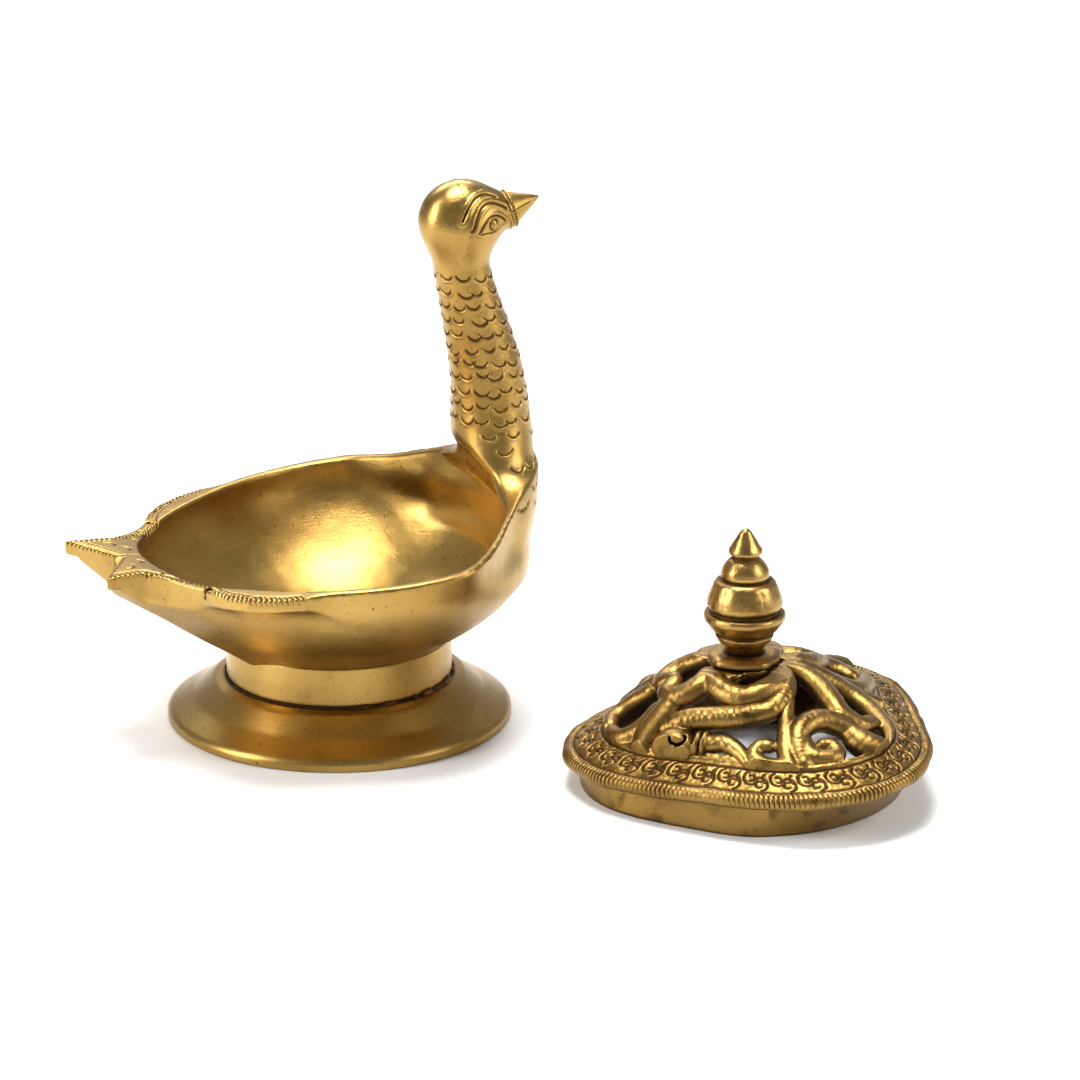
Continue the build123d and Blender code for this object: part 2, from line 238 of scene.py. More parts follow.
# Neck ellipses: (height, centre, half length, half width).
NECK = ((52, 45.5, 10.0, 28), (62, 47.5, 11.6, 30), (70, 48.6, 12.3, 25.5), (79, 49.9, 12.7, 18.5),
        (88, 50.3, 12.5, 14.6), (96, 50.0, 12.1, 12.7), (106, 49.1, 11.5, 11.8), (118, 46.6, 10.5, 10.9),
        (131, 43.2, 9.3, 9.9), (141, 40.9, 8.7, 9.2), (152, 40.4, 9.2, 9.4), (165, 40.4, 9.2, 9.4))
# The rim's height along the bird, from behind the tail to the chest.
RIM = ((-95, 60.5), (-80, 59.6), (-66, 59.4), (-56, 57.6), (-41, 58.2), (-17, 60), (10, 62.1), (24, 63.6),
       (35, 66.4), (43, 70.4), (50, 73.2), (60, 75), (95, 76))
# Half of the tail in plan, its corner past the middle line closed inside the hull.
TAIL = ((-10, -30), (-70.9, -30), (-70.9, 0), (-74.5, 6.5), (-80.5, 16.6), (-82, 18.6), (-80.4, 19.4),
        (-74, 18.9), (-67, 18.2), (-60, 22.6), (-54, 27.6), (-51.4, 32.2), (-51.2, 36),
        (-48.8, 42), (-43.5, 48.3), (-36, 53.2), (-28, 56), (-10, 50))
FLOOR_UNDERSIDE, FLOOR_TOP = 18.3, 22.5
WALL = 3.6
FRONT_CUT_BACK, FRONT_PINCH = 2.8, 0.40
NEAR_LOBE_CUT = 3.6
# The tail's underside: its height 36 out, its rises outwards and sideways, and its least thickness.
TAIL_UNDERSIDE, TAIL_RISE, TAIL_SIDE_RISE, TAIL_EDGE = 25.5, 0.66, 0.62, 4.5
SLOT_END, SLOT_HALF_WIDTH, SLOT_DEPTH = -62.6, 0.35, 1.1
NOTCH_X, NOTCH_Y, NOTCH_RADIUS, NOTCH_DEPTH = -50.9, 33.2, 1.3, 3.2
NECK_FOOT, NECK_TOP = 50, 154
HEAD_CENTRE = np.array([40.9, 0, 155.2])
HEAD_SIZE = np.array([13.2, 10.8, 12.1])
FACE = np.array([54.4, 0, 156.6])
FACE_RADIUS, CHEEK_RADIUS = 5.9, 10.4


def section_tables(rows):
    """One dense table for each column after the height."""
    rows = np.array(rows, float)
    return [smooth_table(rows[:, 0], rows[:, c]) for c in range(1, rows.shape[1])]


hull_tables, cavity_tables, neck_tables = (section_tables(rows) for rows in (HULL, CAVITY, NECK))
rim_table = smooth_table(*np.array(RIM, float).T)


def egg_distance(x, y, z, tables, cut_back=0.0, pinch=0.0):
    """About how far a point is outside a stack of egg-shaped sections.

    Up high, their front may be cut back by so many millimetres and narrowed by a share towards the neck.
    """
    centre, length, width, egg = (np.interp(z, *table) for table in tables)
    length = length - cut_back * ramp(x, 0, 30) * ramp(z, 34, 62)
    u = (x - centre) / length
    narrow = pinch * ramp(u, 0.35, 1.0) * ramp(z, 46, 64)
    v = y / (width * (1 + egg * np.clip(u, -1, 1)) * (1 - narrow))
    heights, lengths = tables[1]
    slope = np.interp(z, heights[:-1], np.diff(lengths) / np.diff(heights))
    return (np.hypot(u, v) - 1) * length / np.sqrt(1 + slope**2)


def tail_distance(x, y, z, rim):
    """The tail's flat plan over a slanting underside. The lobe on the -Y side is the shorter one."""
    flat = np.full(x.shape, 1e3)
    near = (x < -5) & (z > 20)
    shorter = NEAR_LOBE_CUT * ramp(-x[near], 62, 82) * ramp(-y[near], 1, 9)
    flat[near] = outline_distance(x[near] - shorter, np.abs(y[near]), TAIL)[0]
    side = np.maximum(np.abs(y) - 14, 0)
    under = TAIL_UNDERSIDE + TAIL_RISE * (np.hypot(x, y) - 36) + TAIL_SIDE_RISE * side
    under = np.minimum(under, rim - TAIL_EDGE)
    return soft_max(flat, (under - z) * 0.83, 1.2)


def neck_distance(x, y, z):
    """The neck's stack of ellipses, closed inside the head."""
    centre, length, width = (np.interp(z, *table) for table in neck_tables)
    ring = np.hypot((x - centre) / length, y / width) - 1
    return soft_max(ring * np.minimum(length, width), z - NECK_TOP, 3.0)


def head_distance(x, y, z):
    """The skull, drawn out to the round face behind the beak."""
    p = np.stack([x, y, z], -1)
    scaled = (p - HEAD_CENTRE) / HEAD_SIZE
    k0 = np.linalg.norm(scaled, axis=-1)
    k1 = np.linalg.norm(scaled / HEAD_SIZE, axis=-1)
    skull = k0 * (k0 - 1) / np.maximum(k1, 1e-6)
    t = np.clip((x - HEAD_CENTRE[0]) / (FACE[0] - HEAD_CENTRE[0]), 0, 1)
    height = HEAD_CENTRE[2] + t * (FACE[2] - HEAD_CENTRE[2])
    radius = CHEEK_RADIUS + t * (FACE_RADIUS - CHEEK_RADIUS)
    front = x - FACE[0] + 0.3 * (z - FACE[2]) - 0.2
    muzzle = np.maximum((np.hypot(y, z - height) - radius) * 0.92, front)
    muzzle = np.maximum(muzzle, HEAD_CENTRE[0] - x)
    return soft_min(skull, muzzle, 3.0)


def bird_field(x, y, z):
    """The whole casting: hull with its tail, hollow, rim, neck and head."""
    outside = egg_distance(x, y, z, hull_tables, FRONT_CUT_BACK, FRONT_PINCH)
    rim = np.interp(x, *rim_table)
    hull = soft_max(outside, FLOOR_UNDERSIDE - z, 2.0)
    body = soft_min(hull, tail_distance(x, y, z, rim), 5.0)
    cavity = np.maximum(egg_distance(x, y, z, cavity_tables), outside + WALL)
    cavity = soft_max(cavity, FLOOR_TOP - z, 3.0)
    body = soft_max(body, -cavity, 1.2)
    body = soft_max(body, (z - rim) * 0.97, 1.0)
    slot = np.maximum(np.abs(y) - SLOT_HALF_WIDTH, np.maximum(rim - SLOT_DEPTH - z, x - SLOT_END))
    body = soft_max(body, -slot, 0.5)
    notch = np.hypot(x - NOTCH_X, np.abs(y) - NOTCH_Y) - NOTCH_RADIUS
    body = soft_max(body, -np.maximum(notch, rim - NOTCH_DEPTH - z), 0.6)
    neck = soft_min(neck_distance(x, y, z), head_distance(x, y, z), 5.0)
    neck = soft_max(neck, -cavity, 3.0)
    neck = soft_max(neck, NECK_FOOT - z, 2.0)
    fillet = 5.0 + 3.0 * ramp(z, 56, 68) * (1 - ramp(z, 84, 102)) * ramp(x, 34, 46)
    return soft_min(body, neck, fillet)


def grid_of(low, high, step, field):
    """The field's zero surface inside a box, as points and faces."""
    axes = [np.arange(a, b + step, step) for a, b in zip(low, high)]
    x, y, z = np.meshgrid(*axes, indexing="ij")
    return quads_from_field(field(x, y, z), low, step)


def settle(points, field, rounds=3, reach=0.7):
    """Moves points on to the field's zero surface, and gives their outward normals."""
    e = 0.05
    nudges = e * np.eye(3)
    for _ in range(rounds):
        value = field(*points.T)
        slope = np.stack([field(*(points + n).T) - field(*(points - n).T) for n in nudges], -1) / (2 * e)
        size = np.maximum((slope**2).sum(1, keepdims=True), 0.05)
        points = points - np.clip(value[:, None] * slope / size, -reach, reach)
    return points, slope / np.sqrt(size)


def refine(points, faces, wanted, rounds):
    """Splits the chosen faces' edges in two, round by round, and gives the points and faces back."""
    mesh = bmesh.new()
    made = [mesh.verts.new(p) for p in points]
    for face in faces:
        mesh.faces.new([made[i] for i in face])
    for _ in range(rounds):
        chosen = [f for f in mesh.faces if wanted(f.calc_center_median())]
        edges = {edge for f in chosen for edge in f.edges}
        bmesh.ops.subdivide_edges(mesh, edges=list(edges), cuts=1, use_grid_fill=True)
    mesh.verts.index_update()
    points = np.array([v.co[:] for v in mesh.verts])
    faces = [[v.index for v in f.verts] for f in mesh.faces]
    mesh.free()
    return points, faces


def carve(distance, width, depth):
    """A rounded groove's depth at a distance from its line."""
    return depth * np.exp(-(distance / width) ** 2)


SCALE_TOP, SCALE_ROWS, SCALE_ROW_HEIGHT, SCALE_SPACING = 138.5, 16, 4.55, 5.3


def scale_marks(p):
    """Rows of U-shaped gouges down the neck, which thin out below the eleventh row."""
    rng = np.random.default_rng(7)
    x, y, z = p.T
    centre, length, width = (np.interp(z, *table) for table in neck_tables)
    turn = np.arctan2(y, x - centre)
    depth = np.zeros(len(p))
    lip = np.zeros(len(p))
    for row in range(SCALE_ROWS):
        height = SCALE_TOP - row * SCALE_ROW_HEIGHT
        girth = np.interp(height, *neck_tables[1])
        count = int(round(2 * math.pi * girth / SCALE_SPACING))
        for k in range(count):
            a = 2 * math.pi * (k + 0.5 * (row % 2)) / count + rng.normal(0, 0.07)
            h = height + rng.normal(0, 0.6)
            size = rng.uniform(1.75, 2.55)
            keep = rng.random() > (0.02 if row < 11 else 0.3)
            reach = np.interp(row, (10, 11, 15), (4, 2.1, 1.5))
            if not keep or abs(math.remainder(a, 2 * math.pi)) > reach:
                continue
            du = np.remainder(turn - a + np.pi, 2 * np.pi) - np.pi
            near = (np.abs(du) < 3.6 / girth) & (np.abs(z - h) < 4)
            u = du[near] * (length[near] + width[near]) / 2
            v = z[near] - h - size * 0.55
            d = np.hypot(u, v * 1.12) - size
            fade = ramp(-v, -0.1 * size, 0.45 * size)
            depth[near] = np.maximum(depth[near], carve(d, 0.29, 0.40) * fade)
            lip[near] = np.maximum(lip[near], carve(d - 0.6, 0.42, 0.17) * fade)
    return depth, lip


def line_distance(p, lines):
    """Distance to the nearest of several smooth lines laid on the casting."""
    best = np.full(len(p), 1e3)
    for line in lines:
        for q in settle(smooth_path(line, 0.35), bird_field, 5, 1.0)[0]:
            best = np.minimum(best, np.linalg.norm(p - q, axis=1))
    return best


BROWS = (
    ((37.8, -10.3, 156.8), (39.6, -9.8, 160.2), (42.6, -8.2, 163.2), (46.6, -6.4, 164.2),
     (50.4, -5.2, 162.4)),
    ((40.6, -10.6, 153.8), (42.2, -10.2, 157.4), (44.4, -9.2, 160.4), (47.6, -7.7, 161.4),
     (50.6, -6.2, 160.2), (53.0, -5.0, 158.4)),
)
EYELIDS = (
    ((42.6, -10.5, 153.0), (44.6, -10.2, 155.6), (47.0, -9.4, 157.4), (49.6, -8.0, 157.4),
     (52.4, -6.0, 155.4)),
    ((43.6, -10.3, 152.6), (46.0, -9.8, 152.6), (49.2, -8.3, 152.8), (52.4, -6.0, 154.6)),
)
EYE = (48.0, -8.9, 155.0)


def head_marks(p):
    """Grooves of brow and eyelid, and the swell of the brow and the eye, the same on both sides."""
    q = np.stack([p[:, 0], -np.abs(p[:, 1]), p[:, 2]], -1)
    depth = np.zeros(len(p))
    swell = np.zeros(len(p))
    near = (q[:, 0] > 35) & (q[:, 2] > 148)
    brow, lid = line_distance(q[near], BROWS), line_distance(q[near], EYELIDS)
    eye = np.linalg.norm(q[near] - settle(np.array([EYE]), bird_field, 5, 1.0)[0], axis=1)
    ring = carve(eye - 1.75, 0.28, 0.34)
    depth[near] = np.maximum.reduce([carve(brow, 0.30, 0.55), carve(lid, 0.28, 0.45), ring])
    swell[near] = carve(eye, 1.35, 0.8) + carve(brow - 1.0, 0.6, 0.28) + carve(lid - 0.7, 0.45, 0.2)
    return depth, swell


# Crescents stamped on the tail: (x, distance from the middle line, size, heading).
CRESCENTS = ((-70, 11, 2.0, 0.6), (-62, 16, 2.0, 1.0), (-56, 24, 1.8, 1.2), (-44.5, 42, 2.2, 2.2),
             (-38, 48, 1.8, 2.4), (-66, 6.5, 1.8, 0.2))
# Where the ticks start and stop, measured round the tail's plan, and their spacing.
TICKS_FROM, TICKS_TO, TICK_PITCH = 91, 186, 1.6


def tail_marks(p):
    """Ticks along the tail's edges, a vein inside them and a few crescents, all on the flat top."""
    x, y, z = p.T
    depth = np.zeros(len(p))
    near = (x < -26) & (z > 55)
    outside, along = outline_distance(x[near], np.abs(y[near]), TAIL)
    inward = -outside
    rim = np.interp(x[near], *rim_table)
    onto_top = ramp(z[near], rim - 2.0, rim - 1.0)
    tick = carve(np.remainder(along + 0.5 * inward, TICK_PITCH) - TICK_PITCH / 2, 0.28, 0.55)
    tick *= ramp(inward, -0.2, 0.3) * (1 - ramp(inward, 2.2, 2.9))
    vein = carve(inward - 3.1, 0.26, 0.35)
    marks = np.maximum(tick, vein) * (along > TICKS_FROM) * (along < TICKS_TO)
    for cx, cy, size, turn in CRESCENTS:
        dx, dy = x[near] - cx, np.abs(y[near]) - cy
        arc = np.hypot(dx, dy) - size
        facing = ramp(dx * math.cos(turn) + dy * math.sin(turn), -0.2, 0.8)
        marks = np.maximum(marks, carve(arc, 0.28, 0.45) * facing)
    depth[near] = marks * onto_top
    return depth


def fine_zone(centre):
    """Whether a face is on the neck, the head or the tail's top, where the marks need a finer mesh."""
    on_neck = centre.z > 76 and centre.x > 26
    on_tail = centre.x < -26 and centre.z > 55.5
    return on_neck or on_tail


def make_bird():
    """The casting, with its gouges cut in and its swells raised, uneven as poured and filed."""
    points, quads = grid_of((-86, -68, 13), (70, 68, 171), 1.0, bird_field)
    points, _ = settle(points, bird_field, 2)
    points, faces = refine(points, quads, fine_zone, 2)
    points, normals = settle(points, bird_field, 2, 0.3)
    gouge, lip = scale_marks(points)
    groove, swell = head_marks(points)
    ticks = tail_marks(points)
    cut = np.maximum.reduce([gouge, groove, ticks])
    hand = 0.10 * waves(points, 34, 3) + 0.035 * waves(points, 11, 4)
    points = points + normals * (swell + lip - cut + hand)[:, None]
    # Painted shade: the cuts' depth also darkens the colour in the gouges, grooves and ticks.
    return new_mesh("bird_casting", points, faces, recess=np.clip(cut / 0.4, 0, 1))


# ---- beak and pedestal
def along_axis(points, origin, direction):
    """Turns points about +Z into points about a direction, moved to an origin."""
    turn = Vector((0, 0, 1)).rotation_difference(Vector(direction).normalized()).to_matrix()
    return np.asarray(points) @ np.array(turn).T + np.array(origin)


COLLAR_WALL = 3.2
BEAK_DIRECTION = (math.cos(math.radians(17)), 0, math.sin(math.radians(17)))
BEAK_ROOT = (54.9, 0, 156.6)
BEAK_LENGTH, BEAK_RADIUS = 11.9, 5.7


def make_beak():
    """The cone, with a mouth line on each side."""
    heights = np.linspace(0.6, BEAK_LENGTH - 0.2, 60)
    rest = 1 - heights / BEAK_LENGTH
    radii = BEAK_RADIUS * rest**0.92 + 0.6 * np.sqrt(rest)
    profile = [(0.02, 0.6)] + list(zip(radii, heights)) + [(0.02, BEAK_LENGTH - 0.1)]
    points = turned_points(profile, 160)
    radius = axis_distance(points)
    side = np.abs(np.arctan2(points[:, 0], np.abs(points[:, 1])) + 0.10)
    mouth = carve(side * radius, 0.22, 0.3) * ramp(BEAK_LENGTH - 2.5 - points[:, 2], 0, 2)
    points = points - away_from_axis(points) * np.minimum(mouth, 0.6 * radius)[:, None]
    placed = along_axis(points, BEAK_ROOT, BEAK_DIRECTION)
    # Painted shade in the mouth line.
    dark = np.clip(mouth / 0.4, 0, 1)
    return new_mesh("beak_cone", placed, ring_faces(160, len(profile)), recess=dark)


def make_beak_ring():
    """Two rims with a hatched hollow between them."""
    profile = fine_profile([(3.5, -0.9), (5.9, -0.9), (6.3, -0.4), (6.1, 0.1), (5.8, 0.4), (5.8, 1.3),
                            (6.15, 1.6), (6.0, 2.2), (3.5, 2.2)], 0.15, 0.15)
    points = turned_points(profile, 240)
    a = np.arctan2(points[:, 1], points[:, 0])
    hatch = carve(np.remainder(a * 6 + points[:, 2] * 0.6, 1.1) - 0.55, 0.2, 0.4)
    hatch *= ramp(points[:, 2], 0.3, 0.6) * (1 - ramp(points[:, 2], 1.7, 2.0))
    points = points * (1 - hatch / 9)[:, None] ** np.array([1, 1, 0])
    placed = along_axis(points, BEAK_ROOT, BEAK_DIRECTION)
    # Painted shade in the hatching.
    dark = np.clip(hatch / 0.3, 0, 1)
    return new_mesh("beak_ring_hatched", placed, ring_faces(240, len(profile)), recess=dark)


def make_foot():
    """The spun cone with its rolled lip, open underneath."""
    inner = COLLAR_RADIUS - COLLAR_WALL
    corners = [(FOOT_RADIUS - 2.6, 0), (FOOT_RADIUS - 0.4, 0), (FOOT_RADIUS, 0.6), (FOOT_RADIUS, 2.6),
               (FOOT_RADIUS - 1.0, 3.7), (FOOT_RADIUS - 8, 7.6), (COLLAR_RADIUS + 4, 12.9),
               (COLLAR_RADIUS + 0.6, CONE_TOP), (inner, CONE_TOP), (inner, CONE_TOP - 2.6),
               (FOOT_RADIUS - 2.6, 2.4)]
    profile = fine_profile(corners, 1.1, 0.9)

    def hand_spun(a, height, radius):
        return radius + 0.12 * round_waves(a, height, radius, 42, 11) * ramp(height, 0.5, 3)

    points = turned_points(profile, 360, hand_spun)
    # Painted shade: a dark band on the cone round the foot of the collar.
    edge = carve(axis_distance(points) - COLLAR_RADIUS - 0.6, 0.8, 0.7)
    edge *= ramp(points[:, 2], 12.5, 13.5)
    return new_mesh("foot_cone", points, ring_faces(360, len(profile)), recess=edge)


def make_collar():
    """The turned band between the foot and the bowl."""
    inner = COLLAR_RADIUS - COLLAR_WALL
    corners = [(inner, CONE_TOP), (COLLAR_RADIUS - 0.3, CONE_TOP), (COLLAR_RADIUS, CONE_TOP + 0.5),
               (COLLAR_RADIUS + 0.1, 20), (COLLAR_RADIUS - 0.1, 26.4), (inner, 26.0)]
    profile = fine_profile(corners, 0.9, 0.3)

    def hand_turned(a, height, radius):
        return radius + 0.07 * round_waves(a, height, radius, 30, 12)

    points = turned_points(profile, 320, hand_turned)
    # Painted shade: darker at the bottom, where the collar meets the cone.
    return new_mesh("collar_band", points, ring_faces(320, len(profile)),
                    recess=1 - ramp(points[:, 2], CONE_TOP + 0.2, CONE_TOP + 1.4))


def make_braze():
    """The rough bead of brazing metal where the collar meets the foot, lumpiest at the front right."""
    around, section = 420, 10
    a = np.linspace(0, 2 * np.pi, around, endpoint=False)
    base = np.stack([np.cos(a) * COLLAR_RADIUS, np.sin(a) * COLLAR_RADIUS, np.zeros(around)], -1)
    rough = 0.5 + 0.5 * waves(base, 7, 21)
    front_right = np.exp(-((np.remainder(a + 0.95 + np.pi, 2 * np.pi) - np.pi) / 0.55) ** 2)
    lumps = front_right * np.clip(waves(base, 6, 22) + 0.45, 0, 1)
    size = 0.38 + 0.2 * rough + 0.95 * lumps
    b = np.linspace(0, 2 * np.pi, section, endpoint=False)[None, :]
    radius = COLLAR_RADIUS + 0.25 + size[:, None] * np.cos(b)
    height = CONE_TOP + 0.15 + size[:, None] * np.sin(b)
    points = np.stack([radius * np.cos(a)[:, None], radius * np.sin(a)[:, None], height], -1).reshape(-1, 3)
    # Painted shade: the bead is darkened all round, less so on the lumps that stand out.
    return new_mesh("collar_braze_bead", points, ring_faces(around, section),
                    recess=np.repeat(np.clip(0.75 - lumps, 0, 1), section))


# ---- the lid, in its own plan: +X to the neck side
LID_RADIUS, LID_OVAL, LID_CORNERS = 53.4, -0.9, 5.3
LID_SLOPE = math.tan(math.radians(3.7))
LID_SHOULDER = 14.7
BOSS_AHEAD = -5.3
BORDER_WIDTH, BORDER_DEPTH = 11.9, 3.2
# Scrolls of one repeat of the border: (along, inwards, radius, start angle, end angle).
SCROLL_ARCS = ((-1.5, 1.1, 2.4, 1.9, 6.0), (-1.1, 1.1, 1.1, 4.2, 8.6), (1.9, -1.1, 2.5, -1.4, 2.6),
               (1.6, -1.0, 1.2, 1.0, 5.2), (4.6, 1.2, 1.9, 2.2, 4.4), (-4.6, 1.2, 1.9, 2.2, 4.4))
SCROLL_PITCH, SCROLL_INSET = 9.2, 5.7
# The milled bead's middle, inwards and down from the edge, its radii and its ridges' pitch.
BEAD_IN, BEAD_DOWN, BEAD_WIDE, BEAD_TALL, BEAD_PITCH = 0.35, 2.0, 2.45, 2.35, 1.45
SKIRT_FOOT_CENTRE, SKIRT_FOOT_RADIUS = -5.7, 48.8
SKIRT_WALL, SKIRT_TOP_INSET = 2.4, 2.2
# The dome's height over the share of the way from the boss to the edge.
dome_table = smooth_table((0, 0.14, 0.21, 0.30, 0.40, 0.51, 0.64, 0.757, 0.88, 1.0, 1.06),
                          (22.6, 22.6, 22.3, 20.5, 17.6, 13.8, 9.3, 5.6, 2.6, 0, -1.2))


def lid_radius(a, inset=0.0):
    """The lid's outline, a triangle with very round corners."""
    return LID_RADIUS + LID_OVAL * np.cos(2 * a) - LID_CORNERS * np.cos(3 * a) - inset


def dome_share(x, y):
    """How far out a point is, from 0 at the boss, which stands off centre, to 1 at the edge."""
    share = np.hypot(x, y) / lid_radius(np.arctan2(y, x))
    for _ in range(4):
        ahead = x - BOSS_AHEAD * np.clip(1 - share, 0, 1)
        share = np.hypot(ahead, y) / lid_radius(np.arctan2(y, ahead))
    return share


def dome_height(x, y):
    """The lid's top surface: a tilted edge that rises to the level boss."""
    share = dome_share(x, y)
    return LID_SHOULDER + LID_SLOPE * x * ramp(share, 0.15, 0.8) + np.interp(share, *dome_table)


def to_row(points):
    """From the lid's own plan to the row's frame."""
    c, s = math.cos(LID_HEADING), math.sin(LID_HEADING)
    x, y, z = np.asarray(points).T
    return np.stack([LID_PLACE[0] + c * x - s * y, LID_PLACE[1] + s * x + c * y, z], -1)


def swept_band(name, section, steps, wave):
    """A closed section of (inset, height above the tilted edge) carried round the lid's outline.

    The wave gets the distances round the outline and its length, and gives insets, heights and painted
    shade.
    """
    section = np.array(section, float)
    fine = np.linspace(0, 2 * np.pi, 4000)
    edge = np.stack([lid_radius(fine) * np.cos(fine), lid_radius(fine) * np.sin(fine)], -1)
    run = np.r_[0, np.cumsum(np.linalg.norm(np.diff(edge, axis=0), axis=1))]
    places = np.linspace(0, run[-1], steps, endpoint=False)
    a = np.interp(places, run, fine)
    along = places[:, None] * np.ones((1, len(section)))
    inset = section[None, :, 0] * np.ones((steps, 1))
    lift = section[None, :, 1] * np.ones((steps, 1))
    inset, lift, dark = wave(along, inset, lift, run[-1])
    radius = lid_radius(a)[:, None] - inset
    x, y = radius * np.cos(a)[:, None], radius * np.sin(a)[:, None]
    z = LID_SHOULDER + LID_SLOPE * x + lift
    points = to_row(np.stack([x, y, z], -1).reshape(-1, 3))
    dark = np.clip(dark.reshape(-1), 0, 1)
    return new_mesh(name, points, ring_faces(steps, len(section)), recess=dark)


def scroll_distance(along, inset, length):
    """Distance to a running border: leaning S-scrolls with curled ends, and a comma between them."""
    pitch = length / round(length / SCROLL_PITCH)
    u = np.remainder(along, pitch) - pitch / 2
    v = inset - SCROLL_INSET
    best = np.full(u.shape, 9.0)
    for cx, cy, size, start, stop in SCROLL_ARCS:
        dx, dy = u - cx, v - cy
        angle = np.remainder(np.arctan2(dy, dx) - start, 2 * np.pi)
        ends = np.minimum(np.hypot(dx - size * math.cos(start), dy - size * math.sin(start)),
                          np.hypot(dx - size * math.cos(stop), dy - size * math.sin(stop)))
        best = np.minimum(best, np.where(angle < stop - start, np.abs(np.hypot(dx, dy) - size), ends))
    return best


def border_height(inset):
    """The dome's height above the tilted edge, so far in from it."""
    return float(np.interp(1 - inset / LID_RADIUS, *dome_table))


def make_border():
    """The sloping border, its engraved scrolls between two plain lines, and its underside."""
    top = [(i, border_height(i)) for i in np.arange(0.0, BORDER_WIDTH, 0.28)]
    lip = [(12.0, top[-1][1] - 0.6), (12.0, top[-1][1] - 2.2)]
    under = [(i, border_height(i) - BORDER_DEPTH) for i in np.arange(11.6, -0.1, -0.8)]

    def engrave(along, inset, lift, length):
        on_top = np.arange(inset.shape[1])[None, :] < len(top)
        cut = carve(scroll_distance(along, inset, length), 0.36, 0.62)
        cut = np.maximum(cut, carve(inset - 1.5, 0.4, 0.45))
        cut = np.maximum(cut, carve(inset - 9.9, 0.45, 0.6))
        cut = cut * on_top
        raised = 0.35 * ramp(inset, 10.1, 11.0) * on_top
        rough = 0.12 * waves(np.stack([along.ravel(), inset.ravel(), 0 * inset.ravel()], -1), 6, 31)
        # The cuts' depth also goes out as painted shade in the engraving.
        return inset, lift - cut + raised + rough.reshape(lift.shape), cut / 0.5

    return swept_band("lid_border_engraved", top + lip + under, 1180, engrave)


def make_bead():
    """The milled cord round the lid's edge, more worn in some places than in others."""
    a = np.linspace(0, 2 * np.pi, 22, endpoint=False)
    section = [(BEAD_IN - BEAD_WIDE * math.cos(t), -BEAD_DOWN + BEAD_TALL * math.sin(t)) for t in a]

    def mill(along, inset, lift, length):
        count = round(length / BEAD_PITCH)
        turn = np.arctan2(lift + BEAD_DOWN, BEAD_IN - inset)
        ridge = 0.5 + 0.5 * np.cos(2 * np.pi * along * count / length + 1.1 * turn)
        flat = np.stack([along.ravel(), 0 * along.ravel(), 0 * along.ravel()], -1)
        worn = np.clip(0.62 + 0.5 * waves(flat, 34, 41).reshape(along.shape), 0.1, 1)
        cut = 0.36 * ridge**3 * worn * ramp(np.sin(turn), -0.75, -0.2)
        dent = 0.18 * waves(flat, 16, 42).reshape(along.shape)
        # The cuts' depth also goes out as painted shade between the ridges.
        return inset + (cut - dent) * np.cos(turn), lift - (cut - dent) * np.sin(turn), cut / 0.3

    return swept_band("lid_edge_milled", section, 2400, mill)


def make_skirt():
    """The band that drops into the bowl's mouth: almost round at its foot, set back towards the tail."""
    steps = 420
    a = np.linspace(0, 2 * np.pi, steps, endpoint=False)[:, None]
    levels = np.linspace(0, 1, 14)[None, :]
    heading = np.stack([np.cos(a), np.sin(a)], -1)
    rows = []
    sideways = SKIRT_FOOT_CENTRE * np.sin(a)
    round_foot = SKIRT_FOOT_CENTRE * np.cos(a) + np.sqrt(SKIRT_FOOT_RADIUS**2 - sideways**2)
    reach = soft_min(round_foot, lid_radius(a, 0.6), 3.0)
    for wall, order in ((0.0, slice(None)), (SKIRT_WALL, slice(None, None, -1))):
        foot = (reach - wall)[..., None] * heading
        top = lid_radius(a, SKIRT_TOP_INSET + wall)[..., None] * heading
        plan = foot + (top - foot) * levels[..., None] ** 1.15
        height = levels * (LID_SHOULDER + LID_SLOPE * top[..., 0] - 2.6)
        rows.append(np.concatenate([plan, height[..., None]], -1)[:, order])
    points = np.concatenate(rows, 1)
    flat = points.reshape(-1, 3)
    flat[:, :2] *= (1 + 0.0022 * waves(flat, 38, 51))[:, None]
    # Painted shade: darker at the skirt's foot and on its upper part, under the lid's edge.
    under_edge = ramp(flat[:, 2] - LID_SLOPE * flat[:, 0], 8.2, 11.5)
    dark = carve(flat[:, 2], 0.8, 0.5) + under_edge * 0.7
    return new_mesh("lid_skirt_band", to_row(flat), ring_faces(steps, points.shape[1]), recess=dark)


